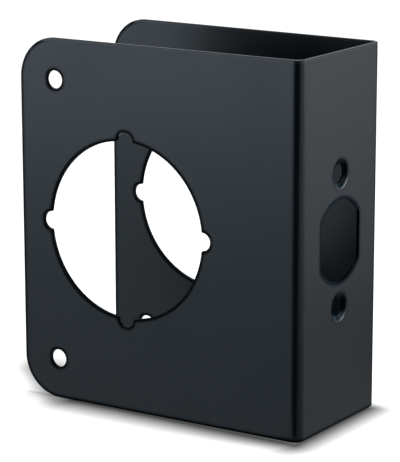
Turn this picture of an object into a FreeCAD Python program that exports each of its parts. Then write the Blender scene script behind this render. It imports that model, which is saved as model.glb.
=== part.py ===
import FreeCAD, Part
import math
import os
import Sketcher

# A door reinforcer: one steel sheet, pierced and dimpled while flat, then folded into a U that wraps
# the latch edge of a door. The front and back wings carry the lock bore, the edge plate between them
# carries the latch hole.
#
# Frame: the origin is on the axis of the lock bore, midway through the door. +X points to the latch
# edge, -Y out of the front wing, +Z up. Lengths are millimetres, angles degrees.

SIZES = {
    # the folded sheet
    "door_thickness": 44.45,
    "sheet_thickness": 0.9,
    "bend_inside_radius": 2.1,
    "plate_height": 112.7,
    "wing_lean": 0.9,
    "corner_radius": 12.7,
    # the lock bore through both wings, and how far each wing runs on past its axis
    "bore_backset": 60.3,
    "wing_reach": 38.1,
    "bore_diameter": 54.4,
    "notch_diameter": 5.56,
    "cusp_rounding": 0.4,
    # the screw holes near the free edges of the wings
    "wing_screw_diameter": 5.56,
    "wing_screw_edge_inset": 12.7,
    "wing_screw_end_inset": 12.7,
    # the latch hole in the edge plate
    "latch_height": 25.0,
    "latch_width": 22.4,
    "latch_end_radius": 14.2,
    "latch_corner_radius": 0.6,
    # the dimpled screw holes above and below it
    "dimple_spacing": 40.3,
    "dimple_mouth_diameter": 9.2,
    "dimple_hole_diameter": 5.56,
    "dimple_depth": 1.0,
    "dimple_lip_radius": 0.3,
    "dimple_land": 0.4,
    # what tumbling takes off the cut edges
    "edge_break": 0.15,
}

# The points of a sketch element, and the sketch's own axes and origin, as the sketcher numbers them
START, END, CENTRE = range(1, 4)
HORIZONTAL_AXIS, VERTICAL_AXIS = range(-1, -3, -1)
ORIGIN = (HORIZONTAL_AXIS, START)

# Two faces that meet at more than this many degrees leave an edge that a tumbler would round
SHARP_ANGLE = 30.0

document = FreeCAD.newDocument("door_reinforcer")


def make_size_sheet():
    """Puts every driving size in a spreadsheet cell that carries its name."""
    sheet = document.addObject("Spreadsheet::Sheet", "sizes")
    for row, (name, value) in enumerate(SIZES.items(), start=1):
        sheet.set("A%d" % row, name)
        sheet.set("B%d" % row, str(value))
        sheet.setAlias("B%d" % row, name)
    document.recompute()


def origin_plane(body, role):
    """Finds one of the body's own origin planes by its role."""
    return [plane for plane in body.Origin.OriginFeatures if plane.Role == role][0]


def new_sketch(body, name, role):
    sketch = body.newObject("Sketcher::SketchObject", name)
    sketch.AttachmentSupport = [(origin_plane(body, role), "")]
    sketch.MapMode = "FlatFace"
    return sketch


def relate(sketch, kind, *where):
    """Adds a geometric constraint, such as Tangent or Vertical."""
    sketch.addConstraint(Sketcher.Constraint(kind, *where))


def tie(sketch, name, formula, kind, *where_and_value):
    """Adds a dimension, names it and binds it to the size sheet."""
    index = sketch.addConstraint(Sketcher.Constraint(kind, *where_and_value))
    sketch.renameConstraint(index, name)
    sketch.setExpression("Constraints." + name, formula)


def add_line(sketch, start, end):
    return sketch.addGeometry(Part.LineSegment(FreeCAD.Vector(*start, 0), FreeCAD.Vector(*end, 0)), False)


def add_circle(sketch, centre, radius):
    circle = Part.Circle(FreeCAD.Vector(*centre, 0), FreeCAD.Vector(0, 0, 1), radius)
    return sketch.addGeometry(circle, False)


def add_arc(sketch, centre, radius, first_degrees, last_degrees):
    """An arc that runs anticlockwise from its first angle to its last."""
    circle = Part.Circle(FreeCAD.Vector(*centre, 0), FreeCAD.Vector(0, 0, 1), radius)
    arc = Part.ArcOfCircle(circle, math.radians(first_degrees), math.radians(last_degrees))
    return sketch.addGeometry(arc, False)


def polar(radius, degrees, centre=(0, 0)):
    angle = math.radians(degrees)
    return (centre[0] + radius * math.cos(angle), centre[1] + radius * math.sin(angle))


def cut(body, name, sketch, both_ways=False):
    """A pocket through all, forwards or both ways from its sketch, and the proof that it cut."""
    document.recompute()
    before = body.Shape.Volume
    pocket = body.newObject("PartDesign::Pocket", name)
    pocket.Profile = sketch
    pocket.Type = "ThroughAll"
    if both_ways:
        pocket.SideType = "Symmetric"
    else:
        pocket.Reversed = True
    document.recompute()
    removed = before - pocket.Shape.Volume
    print("%s took away %.1f cubic mm" % (name, removed))
    if removed <= 0:
        raise RuntimeError(name + " cut nothing")
    return pocket


def work_edges(body, kind, name, edge_names, measure, size_name):
    """Rounds or breaks the named edges of the body by one named size."""
    base = body.Tip
    feature = body.newObject("PartDesign::" + kind, name)
    feature.Base = (base, edge_names)
    setattr(feature, measure, SIZES[size_name])
    feature.setExpression(measure, "sizes." + size_name)
    body.Tip = feature
    document.recompute()
    print("%s: %d edges" % (name, len(edge_names)))


def fold_half_sheet(body):
    """The front half of the U section, seen from above with its true fold, raised to full height.

    The wing leans out a little from square, as spring-back leaves it.
    """
    half_door = SIZES["door_thickness"] / 2
    thickness = SIZES["sheet_thickness"]
    inside_radius = SIZES["bend_inside_radius"]
    outside_radius = inside_radius + thickness
    outer_face = SIZES["bore_backset"]
    inner_face = outer_face - thickness
    free_edge = -SIZES["wing_reach"]
    fold = (outer_face - outside_radius, inside_radius - half_door)
    lean = SIZES["wing_lean"]
    outer_root = polar(outside_radius, lean - 90, fold)
    inner_root = polar(inside_radius, lean - 90, fold)
    outer_tip = (free_edge, outer_root[1] - (outer_root[0] - free_edge) * math.tan(math.radians(lean)))
    inner_tip = polar(thickness, lean + 90, outer_tip)

    sketch = new_sketch(body, "half_section", "XY_Plane")
    middle = add_line(sketch, (inner_face, 0), (outer_face, 0))
    outer_plate = add_line(sketch, (outer_face, 0), (outer_face, fold[1]))
    outer_fold = add_arc(sketch, fold, outside_radius, lean - 90, 0)
    outer_skin = add_line(sketch, outer_tip, outer_root)
    cut_end = add_line(sketch, outer_tip, inner_tip)
    inner_skin = add_line(sketch, inner_tip, inner_root)
    inner_fold = add_arc(sketch, fold, inside_radius, lean - 90, 0)
    inner_plate = add_line(sketch, (inner_face, 0), (inner_face, fold[1]))

    relate(sketch, "Coincident", middle, END, outer_plate, START)
    relate(sketch, "Coincident", middle, START, inner_plate, START)
    relate(sketch, "PointOnObject", middle, START, HORIZONTAL_AXIS)
    relate(sketch, "PointOnObject", middle, END, HORIZONTAL_AXIS)
    relate(sketch, "Vertical", outer_plate)
    relate(sketch, "Vertical", inner_plate)
    relate(sketch, "Tangent", outer_plate, END, outer_fold, END)
    relate(sketch, "Tangent", inner_plate, END, inner_fold, END)
    relate(sketch, "Tangent", outer_skin, END, outer_fold, START)
    relate(sketch, "Tangent", inner_skin, END, inner_fold, START)
    relate(sketch, "Coincident", outer_fold, CENTRE, inner_fold, CENTRE)
    relate(sketch, "Coincident", outer_skin, START, cut_end, START)
    relate(sketch, "Coincident", inner_skin, START, cut_end, END)
    relate(sketch, "Parallel", inner_skin, outer_skin)
    relate(sketch, "Perpendicular", cut_end, outer_skin)
    tie(sketch, "outer_face", "sizes.bore_backset", "DistanceX", outer_plate, START, outer_face)
    tie(sketch, "inside_radius", "sizes.bend_inside_radius", "Radius", inner_fold, inside_radius)
    tie(sketch, "outside_radius", "sizes.bend_inside_radius + sizes.sheet_thickness",
        "Radius", outer_fold, outside_radius)
    tie(sketch, "fold_place", "sizes.bend_inside_radius - sizes.door_thickness / 2",
        "DistanceY", outer_fold, CENTRE, fold[1])
    tie(sketch, "free_edge", "-sizes.wing_reach", "DistanceX", outer_skin, START, free_edge)
    tie(sketch, "lean", "sizes.wing_lean", "Angle", outer_skin, math.radians(lean))

    pad = body.newObject("PartDesign::Pad", "half_sheet")
    pad.Profile = sketch
    pad.SideType = "Symmetric"
    pad.Length = SIZES["plate_height"]
    pad.setExpression("Length", "sizes.plate_height")
    document.recompute()


def round_free_corners(body):
    """The wing's two free corners, each a quarter round."""
    corners = []
    free_edge = body.Shape.BoundBox.XMin
    end = SIZES["plate_height"] / 2
    reach = SIZES["sheet_thickness"] / 2
    for number, edge in enumerate(body.Shape.Edges, start=1):
        middle = edge.CenterOfMass
        if abs(middle.x - free_edge) < reach and abs(abs(middle.z) - end) < reach:
            corners.append("Edge%d" % number)
    work_edges(body, "Fillet", "free_corners", corners, "Radius", "corner_radius")


def mirror_half_sheet(body):
    """The back half of the sheet is the front half over again, across the middle of the door."""
    whole = body.newObject("PartDesign::Mirrored", "whole_sheet")
    whole.TransformMode = "Whole shape"
    whole.MirrorPlane = (origin_plane(body, "XZ_Plane"), [""])
    body.Tip = whole
    document.recompute()


def bore_quarters(bore, notch, rounding):
    """The angle between a notch's centre and its cusp, and the angle at which the notch meets the cusp."""
    to_cusp = bore + rounding
    notch_to_cusp = notch + rounding
    turn = math.acos((to_cusp ** 2 + bore ** 2 - notch_to_cusp ** 2) / (2 * to_cusp * bore))
    cusp_x = to_cusp * math.cos(turn) - bore
    cusp_y = to_cusp * math.sin(turn)
    return math.degrees(turn), math.degrees(math.atan2(cusp_y, cusp_x))


def pierce_lock_bore(body):
    """The bore for the lock's chassis, on one axis through both wings.

    Four half-round notches let the lock's through-bolts pass. They are centred on the rim of the
    bore, at its quarters, and small rounds take the point off each cusp between bore and notch.
    """
    bore = SIZES["bore_diameter"] / 2
    notch = SIZES["notch_diameter"] / 2
    rounding = SIZES["cusp_rounding"]
    turn, meet = bore_quarters(bore, notch, rounding)
    sketch = new_sketch(body, "bore_outline", "XZ_Plane")
    bore_arcs = []
    notch_arcs = []
    first_cusps = []
    last_cusps = []
    for quarter in range(4):
        along = 90 * quarter
        centre = polar(bore, along)
        first = polar(bore + rounding, along - turn)
        last = polar(bore + rounding, along + turn)
        bore_arcs.append(add_arc(sketch, (0, 0), bore, along + turn, along + 90 - turn))
        notch_arcs.append(add_arc(sketch, centre, notch, along - meet, along + meet))
        first_cusps.append(add_arc(sketch, first, rounding, along + 180 - meet, along + 180 - turn))
        last_cusps.append(add_arc(sketch, last, rounding, along + 180 + turn, along + 180 + meet))

    for quarter in range(4):
        name = "quarter_%d_" % quarter
        relate(sketch, "Coincident", bore_arcs[quarter], CENTRE, *ORIGIN)
        relate(sketch, "Tangent", last_cusps[quarter], START, bore_arcs[quarter], START)
        relate(sketch, "Tangent", notch_arcs[quarter], END, last_cusps[quarter], END)
        relate(sketch, "Tangent", first_cusps[quarter], START, notch_arcs[quarter], START)
        relate(sketch, "Tangent", bore_arcs[quarter - 1], END, first_cusps[quarter], END)
        upright = quarter % 2 == 1
        sign = "-" if quarter > 1 else ""
        rim = -bore if quarter > 1 else bore
        relate(sketch, "PointOnObject", notch_arcs[quarter], CENTRE,
               VERTICAL_AXIS if upright else HORIZONTAL_AXIS)
        tie(sketch, name + "rim", sign + "sizes.bore_diameter / 2",
            "DistanceY" if upright else "DistanceX", notch_arcs[quarter], CENTRE, rim)
        tie(sketch, name + "bore", "sizes.bore_diameter / 2", "Radius", bore_arcs[quarter], bore)
        tie(sketch, name + "notch", "sizes.notch_diameter / 2", "Radius", notch_arcs[quarter], notch)
        tie(sketch, name + "first_cusp", "sizes.cusp_rounding", "Radius", first_cusps[quarter], rounding)
        tie(sketch, name + "last_cusp", "sizes.cusp_rounding", "Radius", last_cusps[quarter], rounding)
    cut(body, "lock_bore", sketch, both_ways=True)


def pierce_wing_screws(body):
    """One screw hole near each free corner, in both wings."""
    radius = SIZES["wing_screw_diameter"] / 2
    place_x = SIZES["wing_screw_edge_inset"] - SIZES["wing_reach"]
    place_z = SIZES["plate_height"] / 2 - SIZES["wing_screw_end_inset"]
    sketch = new_sketch(body, "wing_screw_circles", "XZ_Plane")
    for side, name in ((-1, "lower"), (1, "upper")):
        sign = "-" if side < 0 else ""
        circle = add_circle(sketch, (place_x, side * place_z), radius)
        tie(sketch, name + "_x", "sizes.wing_screw_edge_inset - sizes.wing_reach",
            "DistanceX", circle, CENTRE, place_x)
        tie(sketch, name + "_z", "%s(sizes.plate_height / 2 - sizes.wing_screw_end_inset)" % sign,
            "DistanceY", circle, CENTRE, side * place_z)
        tie(sketch, name + "_radius", "sizes.wing_screw_diameter / 2", "Radius", circle, radius)
    cut(body, "wing_screw_holes", sketch, both_ways=True)


def pierce_latch_hole(body):
    """The latch hole in the edge plate: two upright flats closed by two shallow arcs."""
    half_width = SIZES["latch_width"] / 2
    radius = SIZES["latch_end_radius"]
    rounding = SIZES["latch_corner_radius"]
    # the arcs' centres pass the hole's own centre, because the arcs are flatter than a half round
    centre_z = SIZES["latch_height"] / 2 - radius
    corner_y = half_width - rounding
    corner_rise = math.sqrt((radius - rounding) ** 2 - corner_y ** 2)
    corner_z = centre_z + corner_rise
    opening = math.degrees(math.atan2(corner_rise, corner_y))

    sketch = new_sketch(body, "latch_outline", "YZ_Plane")
    front_flat = add_line(sketch, (-half_width, corner_z), (-half_width, -corner_z))
    back_flat = add_line(sketch, (half_width, -corner_z), (half_width, corner_z))
    relate(sketch, "Vertical", front_flat)
    relate(sketch, "Vertical", back_flat)
    tie(sketch, "front_flat", "-sizes.latch_width / 2", "DistanceX", front_flat, START, -half_width)
    tie(sketch, "back_flat", "sizes.latch_width / 2", "DistanceX", back_flat, START, half_width)
    for half_turn, sign, name in ((0, "", "top"), (180, "-", "bottom")):
        up = -1 if half_turn else 1
        near_flat, far_flat = (front_flat, back_flat) if half_turn else (back_flat, front_flat)
        end_arc = add_arc(sketch, (0, up * centre_z), radius,
                          half_turn + opening, half_turn + 180 - opening)
        near = add_arc(sketch, (up * corner_y, up * corner_z), rounding, half_turn, half_turn + opening)
        far = add_arc(sketch, (-up * corner_y, up * corner_z), rounding,
                      half_turn + 180 - opening, half_turn + 180)
        relate(sketch, "Tangent", near_flat, END, near, START)
        relate(sketch, "Tangent", near, END, end_arc, START)
        relate(sketch, "Tangent", end_arc, END, far, START)
        relate(sketch, "Tangent", far, END, far_flat, START)
        relate(sketch, "PointOnObject", end_arc, CENTRE, VERTICAL_AXIS)
        tie(sketch, name + "_centre", "%s(sizes.latch_height / 2 - sizes.latch_end_radius)" % sign,
            "DistanceY", end_arc, CENTRE, up * centre_z)
        tie(sketch, name + "_radius", "sizes.latch_end_radius", "Radius", end_arc, radius)
        tie(sketch, name + "_near_corner", "sizes.latch_corner_radius", "Radius", near, rounding)
        tie(sketch, name + "_far_corner", "sizes.latch_corner_radius", "Radius", far, rounding)
    cut(body, "latch_hole", sketch)


def form_dimples(body):
    """A pressed countersink at each end of the latch hole, for a flat-headed screw.

    The hole is pierced first: its wall has a straight land, and then breaks out wider. The punch then
    draws the sheet inwards at full thickness, with a rounded lip and a shallow cone, so the sheet's cut
    edge stays square to the cone. The flat disc comes out first and the drawn ring, revolved about the
    screw's axis, goes in.
    """
    thickness = SIZES["sheet_thickness"]
    face = SIZES["bore_backset"]
    axis_z = SIZES["dimple_spacing"] / 2
    mouth = SIZES["dimple_mouth_diameter"] / 2
    hole = SIZES["dimple_hole_diameter"] / 2
    depth = SIZES["dimple_depth"]
    land = SIZES["dimple_land"]
    inner_lip = SIZES["dimple_lip_radius"]
    outer_lip = inner_lip + thickness
    footprint = mouth + outer_lip

    disc = new_sketch(body, "dimple_disc", "YZ_Plane")
    circle = add_circle(disc, (0, axis_z), footprint)
    relate(disc, "PointOnObject", circle, CENTRE, VERTICAL_AXIS)
    tie(disc, "axis_z", "sizes.dimple_spacing / 2", "DistanceY", circle, CENTRE, axis_z)
    tie(disc, "footprint",
        "sizes.dimple_mouth_diameter / 2 + sizes.dimple_lip_radius + sizes.sheet_thickness",
        "Radius", circle, footprint)
    blank_disc = cut(body, "dimple_blank", disc)

    # the cone's half angle, and the direction from its outer skin into the sheet
    half_angle = math.atan2(mouth - hole, depth)
    into_x = -math.sin(half_angle)
    into_z = math.cos(half_angle)
    lip_z = axis_z + mouth + outer_lip * math.tan((math.pi / 2 - half_angle) / 2)
    lip_x = face - outer_lip
    lip_turn = 90 - math.degrees(half_angle)
    rim_z = axis_z + footprint
    hole_edge = (face - depth, axis_z + hole)
    land_end = (hole_edge[0] - land, hole_edge[1])
    hole_end = (hole_edge[0] + thickness * into_x, hole_edge[1] + thickness * into_z)

    ring = new_sketch(body, "dimple_section", "XZ_Plane")
    axis = add_line(ring, (face - depth, axis_z), (face, axis_z))
    ring.setConstruction(axis, True)
    outer_flat = add_line(ring, (face, rim_z), (face, lip_z))
    outer_arc = add_arc(ring, (lip_x, lip_z), outer_lip, -lip_turn, 0)
    outer_cone = add_line(ring, (lip_x - outer_lip * into_x, lip_z - outer_lip * into_z), hole_edge)
    hole_wall = add_line(ring, hole_edge, land_end)
    break_out = add_line(ring, land_end, hole_end)
    inner_cone = add_line(ring, hole_end, (lip_x - inner_lip * into_x, lip_z - inner_lip * into_z))
    inner_arc = add_arc(ring, (lip_x, lip_z), inner_lip, -lip_turn, 0)
    inner_flat = add_line(ring, (face - thickness, lip_z), (face - thickness, rim_z))
    rim_wall = add_line(ring, (face - thickness, rim_z), (face, rim_z))
    mouth_point = ring.addGeometry(Part.Point(FreeCAD.Vector(face, axis_z + mouth, 0)), True)
    cut_edge = add_line(ring, hole_edge, hole_end)
    ring.setConstruction(cut_edge, True)

    relate(ring, "Horizontal", axis)
    relate(ring, "Vertical", outer_flat)
    relate(ring, "Vertical", inner_flat)
    relate(ring, "Horizontal", rim_wall)
    relate(ring, "Tangent", outer_flat, END, outer_arc, END)
    relate(ring, "Tangent", outer_cone, START, outer_arc, START)
    relate(ring, "Coincident", outer_cone, END, hole_wall, START)
    relate(ring, "Coincident", hole_wall, END, break_out, START)
    relate(ring, "Coincident", break_out, END, inner_cone, START)
    relate(ring, "Coincident", cut_edge, START, outer_cone, END)
    relate(ring, "Coincident", cut_edge, END, inner_cone, START)
    relate(ring, "Perpendicular", cut_edge, outer_cone)
    relate(ring, "Tangent", inner_cone, END, inner_arc, START)
    relate(ring, "Tangent", inner_flat, START, inner_arc, END)
    relate(ring, "Coincident", inner_flat, END, rim_wall, START)
    relate(ring, "Coincident", rim_wall, END, outer_flat, START)
    relate(ring, "Coincident", outer_arc, CENTRE, inner_arc, CENTRE)
    relate(ring, "Parallel", inner_cone, outer_cone)
    relate(ring, "Horizontal", hole_wall)
    relate(ring, "PointOnObject", mouth_point, START, outer_flat)
    relate(ring, "PointOnObject", mouth_point, START, outer_cone)
    tie(ring, "face", "sizes.bore_backset", "DistanceX", outer_flat, START, face)
    tie(ring, "axis_z", "sizes.dimple_spacing / 2", "DistanceY", axis, START, axis_z)
    tie(ring, "axis_end", "sizes.bore_backset", "DistanceX", axis, END, face)
    tie(ring, "axis_start", "sizes.bore_backset - sizes.dimple_depth",
        "DistanceX", axis, START, face - depth)
    tie(ring, "outer_lip", "sizes.dimple_lip_radius + sizes.sheet_thickness", "Radius", outer_arc, outer_lip)
    tie(ring, "inner_lip", "sizes.dimple_lip_radius", "Radius", inner_arc, inner_lip)
    tie(ring, "mouth", "sizes.dimple_spacing / 2 + sizes.dimple_mouth_diameter / 2",
        "DistanceY", mouth_point, START, axis_z + mouth)
    tie(ring, "hole", "sizes.dimple_spacing / 2 + sizes.dimple_hole_diameter / 2",
        "DistanceY", outer_cone, END, axis_z + hole)
    tie(ring, "depth", "sizes.bore_backset - sizes.dimple_depth",
        "DistanceX", outer_cone, END, face - depth)
    tie(ring, "land", "sizes.bore_backset - sizes.dimple_depth - sizes.dimple_land",
        "DistanceX", hole_wall, END, land_end[0])
    tie(ring, "rim", "sizes.dimple_spacing / 2 + sizes.dimple_mouth_diameter / 2"
        " + sizes.dimple_lip_radius + sizes.sheet_thickness", "DistanceY", outer_flat, START, rim_z)

    drawn_ring = body.newObject("PartDesign::Revolution", "dimple_ring")
    drawn_ring.Profile = ring
    drawn_ring.ReferenceAxis = (ring, ["Axis0"])
    drawn_ring.Angle = 360
    document.recompute()

    pair = body.newObject("PartDesign::Mirrored", "lower_dimple")
    pair.Originals = [blank_disc, drawn_ring]
    pair.MirrorPlane = (origin_plane(body, "XY_Plane"), [""])
    body.Tip = pair
    document.recompute()


def sharp_edges(shape):
    """Names the edges that the press and the shear left sharp around the flat faces."""
    names = []
    for number, edge in enumerate(shape.Edges, start=1):
        faces = shape.ancestorsOfType(edge, Part.Face)
        if len(faces) != 2 or not any(isinstance(face.Surface, Part.Plane) for face in faces):
            continue
        middle = edge.valueAt((edge.FirstParameter + edge.LastParameter) / 2)
        normals = []
        for face in faces:
            normals.append(face.normalAt(*face.Surface.parameter(middle)))
        if math.degrees(normals[0].getAngle(normals[1])) > SHARP_ANGLE:
            names.append("Edge%d" % number)
    return names


def build_wrap_plate():
    body = document.addObject("PartDesign::Body", "wrap_plate")
    body.Label = "wrap_plate"
    body.Placement = FreeCAD.Placement()
    fold_half_sheet(body)
    round_free_corners(body)
    mirror_half_sheet(body)
    # tumbling breaks both sharp edges all round the sheet's outline, and the punch leaves the holes clean
    work_edges(body, "Chamfer", "deburred_outline", sharp_edges(body.Shape), "Size", "edge_break")
    pierce_lock_bore(body)
    pierce_wing_screws(body)
    pierce_latch_hole(body)
    form_dimples(body)
    return body


def check_document():
    """Stops the build if any object failed to compute."""
    for item in document.Objects:
        if "Invalid" in item.State or "Error" in item.State:
            raise RuntimeError("%s is in state %s" % (item.Name, item.State))


def write_part(body):
    shape = body.Shape
    if shape.isNull() or not shape.isValid() or len(shape.Solids) != 1:
        raise RuntimeError(body.Label + " is not one valid solid")
    shape.exportStep("parts/%s.step" % body.Label)
    box = shape.BoundBox
    print("%s: volume %.0f cubic mm, box %.2f x %.2f x %.2f mm, %d faces"
          % (body.Label, shape.Volume, box.XLength, box.YLength, box.ZLength, len(shape.Faces)))


os.makedirs("parts", exist_ok=True)
make_size_sheet()
wrap_plate = build_wrap_plate()
document.recompute()
check_document()
write_part(wrap_plate)
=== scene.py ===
# %% [markdown]
# # A door reinforcer in satin black
#
# The object is one thin steel sheet, pierced while flat and folded into a U that wraps the latch edge
# of a door. It wears a thin satin black coat. The solid is already modelled at its real size, so this
# script only gives it a finish, a floor, lights and a camera.
#
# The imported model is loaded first, because everything else is placed from it. Blender works in metres
# here: +X points to the edge plate, -Y out of the front wing and +Z up.

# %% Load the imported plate
import math

import bmesh
import bpy
from mathutils import Matrix, Vector


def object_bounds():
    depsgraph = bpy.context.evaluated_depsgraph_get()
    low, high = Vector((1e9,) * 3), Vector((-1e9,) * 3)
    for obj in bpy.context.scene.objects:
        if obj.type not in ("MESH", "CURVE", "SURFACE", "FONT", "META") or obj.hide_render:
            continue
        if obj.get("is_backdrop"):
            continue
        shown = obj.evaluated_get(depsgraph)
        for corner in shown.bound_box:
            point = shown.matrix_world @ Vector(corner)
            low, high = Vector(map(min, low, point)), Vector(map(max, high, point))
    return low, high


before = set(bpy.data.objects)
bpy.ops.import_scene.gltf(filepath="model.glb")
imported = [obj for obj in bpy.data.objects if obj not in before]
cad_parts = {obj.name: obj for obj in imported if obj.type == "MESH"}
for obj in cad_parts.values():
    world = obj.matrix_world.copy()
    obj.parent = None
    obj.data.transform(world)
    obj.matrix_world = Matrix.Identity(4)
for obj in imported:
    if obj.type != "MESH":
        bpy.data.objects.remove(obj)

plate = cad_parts["wrap_plate"]
cad_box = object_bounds()
low, high = cad_box
print("plate from", [round(v, 4) for v in low], "to", [round(v, 4) for v in high], "metres")

# %% [markdown]
# ## The camera
#
# A product photograph is taken from far away with a long lens, so that upright edges stay nearly
# parallel. A camera can be pointed by hand, but here its place comes from the photograph: the plate's
# corners and holes were matched to the picture, which fixes the direction, the distance and the lens
# all at once. The camera looks down a little from the right, and it needs no shift.

# %% Camera at the photograph's angle
PICTURE_HEIGHT = 462
SENSOR = 36.0
FOCAL_LENGTH_IN_PIXELS = 2269.6
CAMERA_AZIMUTH = math.radians(33.388)
CAMERA_ELEVATION = math.radians(13.095)
CAMERA_ROLL = math.radians(-0.069)
CAMERA_DISTANCE = 0.69403
CAMERA_AIM = Vector((0.01140, -0.00068, -0.00315))
SEEN_FROM, SEEN_TO = 0.01, 50.0


def direction(azimuth, elevation):
    """The way from the plate to a viewer or a lamp. Azimuth 0 is in front, 90 is to the right."""
    level = math.cos(elevation)
    return Vector((math.sin(azimuth) * level, -math.cos(azimuth) * level, math.sin(elevation)))


def look_along(heading):
    return heading.to_track_quat("-Z", "Y")


camera = bpy.data.objects.new("camera", bpy.data.cameras.new("camera"))
bpy.context.scene.collection.objects.link(camera)
bpy.context.scene.camera = camera
camera.data.sensor_width = SENSOR
camera.data.lens = FOCAL_LENGTH_IN_PIXELS * SENSOR / PICTURE_HEIGHT
camera.data.clip_start = SEEN_FROM
camera.data.clip_end = SEEN_TO
to_camera = direction(CAMERA_AZIMUTH, CAMERA_ELEVATION)
camera.location = CAMERA_AIM + to_camera * CAMERA_DISTANCE
camera.rotation_mode = "QUATERNION"
roll = Matrix.Rotation(CAMERA_ROLL, 4, "Z").to_quaternion()
camera.rotation_quaternion = look_along(-to_camera) @ roll
print("lens %.1f mm, camera at" % camera.data.lens, [round(v, 4) for v in camera.location])

# %% [markdown]
# ## Small helpers for node trees
#
# A material is a tree of nodes. A few helpers keep the cells below short: one adds a node and sets
# its fields and sockets, one joins an output to an input, and one does a sum with two values.

# %% Node helpers
def add_node(tree, kind, fields=None, **values):
    """Adds a node, sets its fields, and sets its input sockets by name."""
    node = tree.nodes.new(kind)
    for field, value in (fields or {}).items():
        setattr(node, field, value)
    for socket, value in values.items():
        node.inputs[socket.replace("_", " ")].default_value = value
    return node


def join(tree, output, socket):
    tree.links.new(output, socket)


def grey(level):
    """A colour socket's value: black at 0, white at 1."""
    return (level, level, level, 1.0)


def math_node(tree, operation, first, second, clamp=False):
    """A maths node on two inputs, each an output socket or a number."""
    node = add_node(tree, "ShaderNodeMath", {"operation": operation, "use_clamp": clamp})
    for place, value in enumerate((first, second)):
        if isinstance(value, (int, float)):
            node.inputs[place].default_value = value
        else:
            join(tree, value, node.inputs[place])
    return node.outputs[0]

# %% [markdown]
# ## White background
#
# The picture has a pure white background that still holds a soft shadow under the plate. A floor lit
# until it clips would flood the plate with light. So the lamps stay at a plain level, and only the
# camera and reflections see a little extra white, which lights nothing. The world does the same above
# the horizon: it is a dim grey light to the plate, and white to the camera.

# %% White world
AMBIENT = 0.10


def seen_or_reflected(tree):
    """One for a camera ray, a mirror-like ray or a ray through glass, otherwise zero."""
    path = add_node(tree, "ShaderNodeLightPath")
    seen = math_node(tree, "MAXIMUM", path.outputs["Is Camera Ray"], path.outputs["Is Glossy Ray"])
    return math_node(tree, "MAXIMUM", seen, path.outputs["Is Transmission Ray"])


world = bpy.data.worlds.new("white_studio")
bpy.context.scene.world = world
world.use_nodes = True
tree = world.node_tree
tree.nodes.clear()
sky = add_node(tree, "ShaderNodeBackground", Color=grey(1.0))
glow = add_node(tree, "ShaderNodeMapRange")
join(tree, seen_or_reflected(tree), glow.inputs["Value"])
glow.inputs["To Min"].default_value = AMBIENT
glow.inputs["To Max"].default_value = 1.0
join(tree, glow.outputs["Result"], sky.inputs["Strength"])
end = add_node(tree, "ShaderNodeOutputWorld")
join(tree, sky.outputs["Background"], end.inputs["Surface"])
print("world gives", AMBIENT, "of white to the plate")

# %% [markdown]
# ## Paper floor
#
# The plate stands on a sheet of matt paper. It is one plain square, so large that its border is never
# seen.

# %% A sheet of paper
FLOOR_REACH = 6.0

mesh = bpy.data.meshes.new("floor")
shape = bmesh.new()
bmesh.ops.create_grid(shape, x_segments=1, y_segments=1, size=FLOOR_REACH)
shape.to_mesh(mesh)
shape.free()
floor = bpy.data.objects.new("floor", mesh)
floor.location.z = low.z
bpy.context.scene.collection.objects.link(floor)
floor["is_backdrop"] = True
print("floor at height", round(low.z, 4), "metres")

# %% [markdown]
# ## Distances on the floor
#
# Light runs out where the plate meets the paper, and a soft dark band follows the foot. A lamp would
# draw one too, but its width and depth could only be guessed at, so the band is painted into the
# paper's colour instead. It is drawn from distances: at each point of the floor, how far it is to the
# nearest foot, in units of the reach in which the band fades out.

# %% Distance helpers
floor_finish = bpy.data.materials.new("floor_paper")
floor_finish.use_nodes = True
tree = floor_finish.node_tree
tree.nodes.clear()
place = add_node(tree, "ShaderNodeTexCoord")
axes = add_node(tree, "ShaderNodeSeparateXYZ")
join(tree, place.outputs["Object"], axes.inputs["Vector"])


def off_a_span(tree, coordinate, start, end, reach):
    """How far a coordinate lies outside a span, in units of the reach. It is zero inside the span."""
    off_middle = math_node(tree, "SUBTRACT", coordinate, (start + end) / 2)
    beyond = math_node(tree, "SUBTRACT", math_node(tree, "ABSOLUTE", off_middle, 0.0), (end - start) / 2)
    return math_node(tree, "DIVIDE", math_node(tree, "MAXIMUM", beyond, 0.0), reach)


def diagonal(tree, first, second):
    """The length of a step with these two sides."""
    squares = [math_node(tree, "MULTIPLY", side, side) for side in (first, second)]
    return math_node(tree, "SQRT", math_node(tree, "ADD", *squares), 0.0)


def ramp(tree, value, first, last):
    """Zero at the first value, one at the last, with a smooth step between."""
    node = add_node(tree, "ShaderNodeMapRange", {"interpolation_type": "SMOOTHSTEP"})
    join(tree, value, node.inputs["Value"])
    node.inputs["From Min"].default_value, node.inputs["From Max"].default_value = first, last
    return node.outputs["Result"]

# %% [markdown]
# ## Shade along the feet
#
# Each of the three feet is a straight line on the floor, and the nearest one counts. The front wing's
# band is widest where its rounded corner lifts clear of the floor and narrows towards the fold. The
# edge plate's band rounds off at its back end. Behind the back wing there is only a narrow one. A pair
# of reaches is for X and Y. The edge's end gives where its rounding begins, and how far it takes.

# %% Shade along the three feet
WING_START = -0.020
BAND_REACH = (0.0119, 0.0157)
BAND_NARROWS = 2.9
BACK_REACH = 0.0060
EDGE_END = (0.0063, 0.0080)
DEEPEST_AT = -0.20

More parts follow.
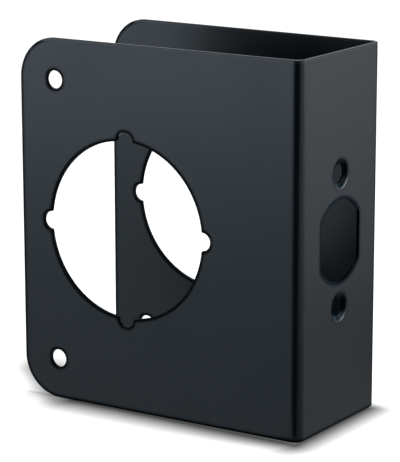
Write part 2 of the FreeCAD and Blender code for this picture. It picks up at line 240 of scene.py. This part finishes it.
from_start = math_node(tree, "SUBTRACT", axes.outputs["X"], WING_START)
narrows = math_node(tree, "ADD", math_node(tree, "MULTIPLY", from_start, BAND_NARROWS), 1.0)
off_wing = off_a_span(tree, axes.outputs["Y"], low.y, low.y, BAND_REACH[1])
wing_foot = diagonal(tree, off_a_span(tree, axes.outputs["X"], WING_START, high.x, BAND_REACH[0]),
                     math_node(tree, "MULTIPLY", off_wing, narrows))
back_end = high.x - 2 * BACK_REACH
back_foot = diagonal(tree, off_a_span(tree, axes.outputs["X"], WING_START, back_end, BACK_REACH),
                     off_a_span(tree, axes.outputs["Y"], high.y, high.y, BACK_REACH))
off_ends = math_node(tree, "ADD", off_a_span(tree, axes.outputs["Y"], low.y, FLOOR_REACH, BAND_REACH[1]),
                     off_a_span(tree, axes.outputs["Y"], -FLOOR_REACH, high.y - EDGE_END[0], EDGE_END[1]))
edge_foot = diagonal(tree, off_a_span(tree, axes.outputs["X"], high.x, high.x, BAND_REACH[0]), off_ends)
nearest = math_node(tree, "MINIMUM", wing_foot, math_node(tree, "MINIMUM", edge_foot, back_foot))
by_feet = ramp(tree, nearest, DEEPEST_AT, 1.0)
print("band reaches", BAND_REACH, "metres beyond the edge plate and the front wing")

# %% [markdown]
# ## Shade under the rounded corner
#
# The front wing's free corner is rounded and stands clear of the floor, so its shade is lighter and
# softer, and it trails off behind the corner. It is a short slanted line with a sharper side towards
# the camera and a wide soft one away from it. Its three reaches are for these two sides and its ends.

# %% Shade under the rounded corner
CORNER_START = (-0.0315, -0.0200)
CORNER_HEADING = (-0.748, 0.664)
CORNER_LENGTH = 0.023
CORNER_REACH = (0.0085, 0.0230, 0.0200)
CORNER_DARKEST = 0.29


def along_a_line(tree, start, heading):
    """How far a floor point lies along a heading from a start, both in X and Y."""
    parts = [math_node(tree, "MULTIPLY", math_node(tree, "SUBTRACT", axes.outputs[axis], first), share)
             for axis, first, share in zip("XY", start, heading)]
    return math_node(tree, "ADD", *parts)


beside = along_a_line(tree, CORNER_START, (-CORNER_HEADING[1], CORNER_HEADING[0]))
across = math_node(tree, "MAXIMUM", math_node(tree, "DIVIDE", beside, CORNER_REACH[0]),
                   math_node(tree, "DIVIDE", beside, -CORNER_REACH[1]))
down_the_line = along_a_line(tree, CORNER_START, CORNER_HEADING)
along = off_a_span(tree, down_the_line, 0.0, CORNER_LENGTH, CORNER_REACH[2])
by_corner = ramp(tree, diagonal(tree, across, along), 0.0, 1.0)
by_corner = math_node(tree, "ADD", math_node(tree, "MULTIPLY", by_corner, 1 - CORNER_DARKEST), CORNER_DARKEST)
light = math_node(tree, "MULTIPLY", by_feet, by_corner)
print("corner's shade", CORNER_LENGTH, "metres long")

# %% [markdown]
# ## The paper's finish
#
# Matt paper spreads its light evenly and has no gloss. The shade darkens both its own colour and the
# extra white that the camera sees, so the two fade together.

# %% Paper
FLOOR_PALENESS = 0.86
EXTRA_WHITE = 0.455

paper = add_node(tree, "ShaderNodeBsdfDiffuse")
shade = add_node(tree, "ShaderNodeMix", {"data_type": "RGBA"})
shade.inputs["A"].default_value = grey(0.0)
shade.inputs["B"].default_value = grey(FLOOR_PALENESS)
join(tree, light, shade.inputs["Factor"])
join(tree, shade.outputs["Result"], paper.inputs["Color"])
extra = add_node(tree, "ShaderNodeEmission", Color=grey(1.0))
glow = math_node(tree, "MULTIPLY", light, EXTRA_WHITE)
join(tree, math_node(tree, "MULTIPLY", seen_or_reflected(tree), glow), extra.inputs["Strength"])
both = add_node(tree, "ShaderNodeAddShader")
join(tree, paper.outputs[0], both.inputs[0])
join(tree, extra.outputs[0], both.inputs[1])
end = add_node(tree, "ShaderNodeOutputMaterial")
join(tree, both.outputs[0], end.inputs["Surface"])
floor.data.materials.append(floor_finish)
print("floor paper with", len(tree.nodes), "nodes")

# %% [markdown]
# ## Skylight
#
# One soft skylight stands almost straight above the plate. It lights the whole floor evenly, catches
# the top rims, and keeps the plate's own shadow close under it. A lower lamp would throw the shadow to
# one side, and the picture shows none there.

# %% Skylight
SKYLIGHT_STRENGTH = 2.1
SKYLIGHT_WIDTH = math.radians(12)


def place_lamp(name, lamp, azimuth, elevation, distance):
    """Puts a lamp round the plate, looking at its middle."""
    holder = bpy.data.objects.new(name, lamp)
    bpy.context.scene.collection.objects.link(holder)
    away = direction(math.radians(azimuth), math.radians(elevation))
    holder.location = (low + high) / 2 + away * distance
    holder.rotation_mode = "QUATERNION"
    holder.rotation_quaternion = look_along(-away)
    holder.visible_camera = False
    print(name, "at", [round(v, 2) for v in holder.location])
    return holder


skylight = bpy.data.lights.new("skylight", "SUN")
skylight.energy = SKYLIGHT_STRENGTH
skylight.angle = SKYLIGHT_WIDTH
place_lamp("skylight", skylight, azimuth=210, elevation=89, distance=2.0)

# %% [markdown]
# ## Two softboxes
#
# Black metal is lit by what it reflects. Small lamps would leave hot spots on it, so these are large
# and soft. The front wing mirrors the left, and the edge plate mirrors the right rear, so a softbox
# stands towards each of those sides. Their lower edges are near the plate's own height: its top then
# sees the box and its foot does not, and the tone fades down the metal.

# %% Softboxes for the wing and the edge
def softbox(name, azimuth, elevation, distance, width, height, power):
    lamp = bpy.data.lights.new(name, "AREA")
    lamp.shape = "RECTANGLE"
    lamp.size = width
    lamp.size_y = height
    lamp.energy = power
    return place_lamp(name, lamp, azimuth, elevation, distance)


softbox("left_box", azimuth=-28, elevation=4, distance=0.60, width=0.42, height=0.20, power=0.66)
softbox("right_box", azimuth=119, elevation=12, distance=0.60, width=0.32, height=0.14, power=2.75)

# %% [markdown]
# ## Cloths for the reflections
#
# A satin face shows a soft picture of what lies at its mirror angle, so half of lighting it is to
# choose what it may see. Cloths laid out round the plate do that, as a photographer would lay them.
# The floor could be toned in the same places, but the camera would see that, and only reflections
# see these. First come the helpers: a cloth is a fan of triangles from a tip, or a band between two
# rows of corners.

# %% Cloth helpers
ROW_STEP = 5
CLOTHS = {"pale": 0.90, "black": 0.002, "dark": 0.05, "grey": 0.45, "mid_grey": 0.76, "light_grey": 0.97}

mesh = bpy.data.meshes.new("cloths")
shape = bmesh.new()


def spread(around, first, last, reach, rise=0.0):
    """A row of corners at one reach round a middle, from one azimuth to another in degrees."""
    row = []
    for azimuth in range(first, last + 1, ROW_STEP):
        corner = around + direction(math.radians(azimuth), 0.0) * reach
        row.append(shape.verts.new(corner + Vector((0, 0, rise))))
    return row


def band(row, following, cloth):
    """Cloth between two rows of corners."""
    for place in range(len(row) - 1):
        corners = (row[place], following[place], following[place + 1], row[place + 1])
        shape.faces.new(corners).material_index = list(CLOTHS).index(cloth)


def fan(tip, row, cloth):
    """Cloth that widens from a tip to a row of corners."""
    for place in range(len(row) - 1):
        shape.faces.new((tip, row[place], row[place + 1])).material_index = list(CLOTHS).index(cloth)

# %% [markdown]
# ## Pale and grey cloths
#
# Pale cloth lies to the left, where the front wing looks. Greys that lighten outwards lie to the
# right, where the edge plate looks. Its foot sees the near, darker grey and its top the far, lighter
# one, so its tone rises with height.

# %% Pale and grey cloths
PALE_SIDES = (-180, 65)
PALE_REACH = 0.30
GREY_SIDES = (65, 180)
GREY_REACHES = (0.20, 0.34, 0.60)

fan(shape.verts.new((0, 0, 0)), spread(Vector(), *PALE_SIDES, PALE_REACH), "pale")
near, middle, far = [spread(Vector(), *GREY_SIDES, reach) for reach in GREY_REACHES]
fan(shape.verts.new((0, 0, 0)), near, "grey")
band(near, middle, "mid_grey")
band(middle, far, "light_grey")
print("pale and grey cloths with", len(shape.faces), "faces")

# %% [markdown]
# ## Black cloth in front of the fold
#
# Between the two flat faces lies the fold, which turns through a quarter circle and so mirrors the
# whole side where the camera stands. A black cloth there draws the fold as a dark line between two
# lit faces, which keeps black metal from looking flat. It starts in a point at the fold, so that the
# line stays dark down to the floor, and it rises behind the camera. A dark one starts at the back
# fold, for the back rims.

# %% Black cloth in front, dark cloth behind
SWEEP_REACH = 1.40
SWEEP_LEAN = 1.04
SWEEP_RISE = 0.60
SWEEP_SIDES = (-8, 65)
BACK_SIDES = (156, 216)
ABOVE_GREY = 0.0002

above = Vector((0, 0, ABOVE_GREY))
fold = Vector((high.x, low.y, 0))
back_fold = Vector((high.x, high.y, 0))
foot = spread(fold + above, *SWEEP_SIDES, SWEEP_REACH)
fan(shape.verts.new(fold + above), foot, "black")
band(foot, spread(fold, *SWEEP_SIDES, SWEEP_REACH * SWEEP_LEAN, SWEEP_RISE), "black")
fan(shape.verts.new(back_fold + above), spread(back_fold + above, *BACK_SIDES, SWEEP_REACH), "dark")
print("black cloth from", [round(v, 4) for v in fold], "to a reach of", SWEEP_REACH, "metres")

# %% [markdown]
# ## Black flag
#
# The lower walls of the latch hole and of the two cups look up to the right rear, where they would
# mirror the white world and shine. A black flag hangs there and keeps them dark. Its lower and upper
# edges are each given as a reach and a height.

# %% Black flag
FLAG_SIDES = (105, 190)
FLAG_LOW = (1.00, 0.46)
FLAG_HIGH = (0.60, 1.10)

band(spread(Vector(), *FLAG_SIDES, *FLAG_LOW), spread(Vector(), *FLAG_SIDES, *FLAG_HIGH), "black")
print("flag from", FLAG_LOW[1], "to", FLAG_HIGH[1], "metres up")

# %% [markdown]
# ## Hanging the cloths
#
# The cloths glow evenly at their own level instead of being lit, so each reflection keeps the level
# that was set, wherever the lamps stand. Camera, shadows and the soft light pass through them.

# %% Cloths in place
ABOVE_FLOOR = 0.0005

shape.to_mesh(mesh)
shape.free()
cloths = bpy.data.objects.new("cloths", mesh)
cloths.location.z = low.z + ABOVE_FLOOR
bpy.context.scene.collection.objects.link(cloths)
cloths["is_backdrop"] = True
for kind in ("camera", "diffuse", "shadow", "transmission", "volume_scatter"):
    setattr(cloths, "visible_" + kind, False)
for name, level in CLOTHS.items():
    cloth = bpy.data.materials.new(name + "_cloth")
    cloth.use_nodes = True
    tree = cloth.node_tree
    tree.nodes.clear()
    tone = add_node(tree, "ShaderNodeEmission", Color=grey(level))
    end = add_node(tree, "ShaderNodeOutputMaterial")
    join(tree, tone.outputs[0], end.inputs["Surface"])
    mesh.materials.append(cloth)
print("cloths with", len(mesh.polygons), "faces")

# %% [markdown]
# ## The coat's texture
#
# A thin sprayed and baked coat is never glass smooth. It dries with an orange-peel ripple about a
# millimetre across, and over that a fine tooth that makes it satin. Both could be modelled as
# bumps in the mesh, but they are only micrometres high, so noise in the shader is the right tool.
# The effect is one node group that gives out a height.

# %% Orange peel group
def new_group(name, inputs, outputs):
    """A shader node group with numbers as inputs, and its two end nodes."""
    group = bpy.data.node_groups.new(name, "ShaderNodeTree")
    for socket, value in inputs.items():
        made = group.interface.new_socket(socket, in_out="INPUT", socket_type="NodeSocketFloat")
        made.default_value = value
    for socket, kind in outputs.items():
        group.interface.new_socket(socket, in_out="OUTPUT", socket_type=kind)
    return group, group.nodes.new("NodeGroupInput"), group.nodes.new("NodeGroupOutput")


def noise(tree, scale, detail=2.0, roughness=0.5):
    """Noise in the object's own space. The scale is a number or an output socket, per metre."""
    place = add_node(tree, "ShaderNodeTexCoord")
    node = add_node(tree, "ShaderNodeTexNoise", Detail=detail, Roughness=roughness)
    join(tree, place.outputs["Object"], node.inputs["Vector"])
    if isinstance(scale, (int, float)):
        node.inputs["Scale"].default_value = scale
    else:
        join(tree, scale, node.inputs["Scale"])
    return node.outputs["Fac"]


peel, peel_in, peel_out = new_group(
    "orange_peel",
    {"Ripple per metre": 700.0, "Tooth per metre": 5200.0, "Tooth share": 0.35},
    {"Height": "NodeSocketFloat"})
ripple = noise(peel, peel_in.outputs["Ripple per metre"], detail=1.0)
tooth = noise(peel, peel_in.outputs["Tooth per metre"], detail=2.0, roughness=0.6)
fine = math_node(peel, "MULTIPLY", tooth, peel_in.outputs["Tooth share"])
join(peel, math_node(peel, "ADD", ripple, fine), peel_out.inputs["Height"])
print("group", peel.name, "with", len(peel.nodes), "nodes")

# %% [markdown]
# ## Cut rims
#
# A punched rim is a sharp corner. Along the rims a fine black line of painted shade is drawn, which
# also draws the holes crisply. The line could be modelled as a strip, but it is painted shade and not a
# change of form. The Bevel node finds it: its rounded normal leans away from the face's own normal only
# close to a corner, and the lean is the mask.

# %% Cut rim group
RIM_REACH = 0.0020
RIM_GAIN = 60.0
SOFT_RIM = 0.0002
BEVEL_RAYS = 8

rims, rims_in, rims_out = new_group(
    "cut_rims",
    {"Strength": 1.0},
    {"Rim": "NodeSocketFloat", "Normal": "NodeSocketVector"})
rounded = add_node(rims, "ShaderNodeBevel", {"samples": BEVEL_RAYS}, Radius=RIM_REACH)
flat = add_node(rims, "ShaderNodeNewGeometry")
lean = add_node(rims, "ShaderNodeVectorMath", {"operation": "DOT_PRODUCT"})
join(rims, rounded.outputs["Normal"], lean.inputs[0])
join(rims, flat.outputs["Normal"], lean.inputs[1])
away = math_node(rims, "SUBTRACT", 1.0, lean.outputs["Value"])
mask = math_node(rims, "MULTIPLY", away, RIM_GAIN, clamp=True)
join(rims, math_node(rims, "MULTIPLY", mask, rims_in.outputs["Strength"], clamp=True), rims_out.inputs["Rim"])
softened = add_node(rims, "ShaderNodeBevel", {"samples": BEVEL_RAYS}, Radius=SOFT_RIM)
join(rims, softened.outputs["Normal"], rims_out.inputs["Normal"])
print("group", rims.name, "with", len(rims.nodes), "nodes")

# %% [markdown]
# ## Satin black
#
# The coat is near black with the slightest cool tint, and the eye reads it mostly by the softboxes that
# it reflects: gloss matters more here than colour. One Principled shader does it. The two groups are
# placed in the material with this coat's own values, and a slow noise stands ready for what varies
# over the sheet.

# %% Satin black material
COAT_SPECULAR = 0.30
COAT_SHINE_TINT = (0.73, 0.875, 1.0, 1.0)
TOOTH_SHARE = 0.35
RIM_STRENGTH = 1.0
CLOUDS_PER_METRE = 38.0


def use_group(tree, group, **values):
    node = add_node(tree, "ShaderNodeGroup", {"node_tree": group})
    for socket, value in values.items():
        node.inputs[socket.replace("_", " ")].default_value = value
    return node


satin = bpy.data.materials.new("satin_black")
satin.use_nodes = True
tree = satin.node_tree
tree.nodes.clear()
coat = add_node(tree, "ShaderNodeBsdfPrincipled", IOR=1.5)
coat.inputs["Specular IOR Level"].default_value = COAT_SPECULAR
coat.inputs["Specular Tint"].default_value = COAT_SHINE_TINT
texture = use_group(tree, peel, Tooth_share=TOOTH_SHARE)
rim = use_group(tree, rims, Strength=RIM_STRENGTH)
clouds = noise(tree, CLOUDS_PER_METRE, detail=3.0)
print("coat with a gloss level of", COAT_SPECULAR)

# %% [markdown]
# ## Painted shade at the rims and in the cups
#
# Along the cut rims and inside the two pressed cups, shade is painted in. It is a near-black colour
# with Metallic, which mirrors almost nothing, so these places stay dark under any lamp. The rims along
# the top are left out. The cups are found by their distance from the two screw centres, and their mask
# fades out between two radii.

# %% Painted shade at the rims and in the cups
TOP_RIM = 0.0016
EDGE_PLATE_DEPTH = 0.004
CUP_SPACING = 0.0403
CUP_REACH = (0.0046, 0.0039)

place = add_node(tree, "ShaderNodeTexCoord")
axes = add_node(tree, "ShaderNodeSeparateXYZ")
join(tree, place.outputs["Object"], axes.inputs["Vector"])
height = axes.outputs["Z"]
along_top = ramp(tree, height, high.z - TOP_RIM, high.z - TOP_RIM / 2)
off_cup = math_node(tree, "SUBTRACT", math_node(tree, "ABSOLUTE", height, 0.0), CUP_SPACING / 2)
from_cup = diagonal(tree, axes.outputs["Y"], off_cup)
on_edge_plate = math_node(tree, "GREATER_THAN", axes.outputs["X"], high.x - EDGE_PLATE_DEPTH)
# Painted shade inside the two cups, on the edge plate only.
cup_shade_mask = math_node(tree, "MULTIPLY", on_edge_plate, ramp(tree, from_cup, *CUP_REACH))
# Painted shade along the rims, except the top ones.
rim_shade_mask = math_node(tree, "MULTIPLY", rim.outputs["Rim"], math_node(tree, "SUBTRACT", 1.0, along_top))
painted_shade = math_node(tree, "MAXIMUM", rim_shade_mask, cup_shade_mask)
join(tree, painted_shade, coat.inputs["Metallic"])
print("cups at heights", -CUP_SPACING / 2, "and", CUP_SPACING / 2, "metres")

# %% [markdown]
# ## Colour
#
# The coat has one colour, and along the top rims a painted highlight makes it a little paler. The slow
# noise breaks that up, so it is uneven. Where shade is painted at the rims and in the cups, its near
# black takes over.

# %% Coat and steel colours
COAT_BLACK = (0.0014, 0.0036, 0.0058, 1.0)
# Paler colour of the painted highlight along the top rims.
TOP_RIM_HIGHLIGHT_COLOUR = (0.020, 0.026, 0.031, 1.0)
# Near black of the painted shade at the rims and in the cups.
PAINTED_SHADE_BLACK = (0.0010, 0.0011, 0.0012, 1.0)

# Painted highlight along the top rims, broken up by the slow noise.
top_rim_highlight = math_node(tree, "MULTIPLY", math_node(tree, "MULTIPLY", rim.outputs["Rim"], along_top), clouds)
tint = add_node(tree, "ShaderNodeMix", {"data_type": "RGBA"})
tint.inputs["A"].default_value = COAT_BLACK
tint.inputs["B"].default_value = TOP_RIM_HIGHLIGHT_COLOUR
join(tree, top_rim_highlight, tint.inputs["Factor"])
# The painted shade at the rims and in the cups takes over the colour.
shade_over_coat = add_node(tree, "ShaderNodeMix", {"data_type": "RGBA"})
join(tree, painted_shade, shade_over_coat.inputs["Factor"])
join(tree, tint.outputs["Result"], shade_over_coat.inputs["A"])
shade_over_coat.inputs["B"].default_value = PAINTED_SHADE_BLACK
join(tree, shade_over_coat.outputs["Result"], coat.inputs["Base Color"])

# %% [markdown]
# ## Gloss and ripple
#
# No sprayed coat dries evenly, so its roughness drifts a little over the sheet with the same slow
# noise. The orange peel goes through a Bump node, on top of the rims' softened normal.

# %% Gloss, ripple and the coat in place
COAT_ROUGHNESS = 0.30
ROUGHNESS_DRIFT = 0.03
CLOUD_RANGE = (0.3, 0.7)
PEEL_STRENGTH = 0.25
PEEL_HEIGHT = 0.00001

drift = add_node(tree, "ShaderNodeMapRange")
join(tree, clouds, drift.inputs["Value"])
drift.inputs["From Min"].default_value, drift.inputs["From Max"].default_value = CLOUD_RANGE
drift.inputs["To Min"].default_value = COAT_ROUGHNESS - ROUGHNESS_DRIFT
drift.inputs["To Max"].default_value = COAT_ROUGHNESS + ROUGHNESS_DRIFT
join(tree, drift.outputs["Result"], coat.inputs["Roughness"])

bump = add_node(tree, "ShaderNodeBump", Strength=PEEL_STRENGTH, Distance=PEEL_HEIGHT)
join(tree, texture.outputs["Height"], bump.inputs["Height"])
join(tree, rim.outputs["Normal"], bump.inputs["Normal"])
join(tree, bump.outputs["Normal"], coat.inputs["Normal"])
end = add_node(tree, "ShaderNodeOutputMaterial")
join(tree, coat.outputs["BSDF"], end.inputs["Surface"])
for slot in plate.material_slots:
    slot.material = satin
print("satin black, roughness", COAT_ROUGHNESS, "on", len(plate.material_slots), "slot(s)")

# %% [markdown]
# ## Close
#
# The picture is shown without any film look, so the colours come out as they are set. The model's box
# before and after is printed, to show that the finish has not changed its size.

bpy.context.scene.view_settings.view_transform = "Standard"
dressed_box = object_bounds()
sizes = {"cad": [list(corner) for corner in cad_box], "visual": [list(corner) for corner in dressed_box]}
for name, (first, last) in sizes.items():
    print(name, "box from", [round(v, 4) for v in first], "to", [round(v, 4) for v in last])
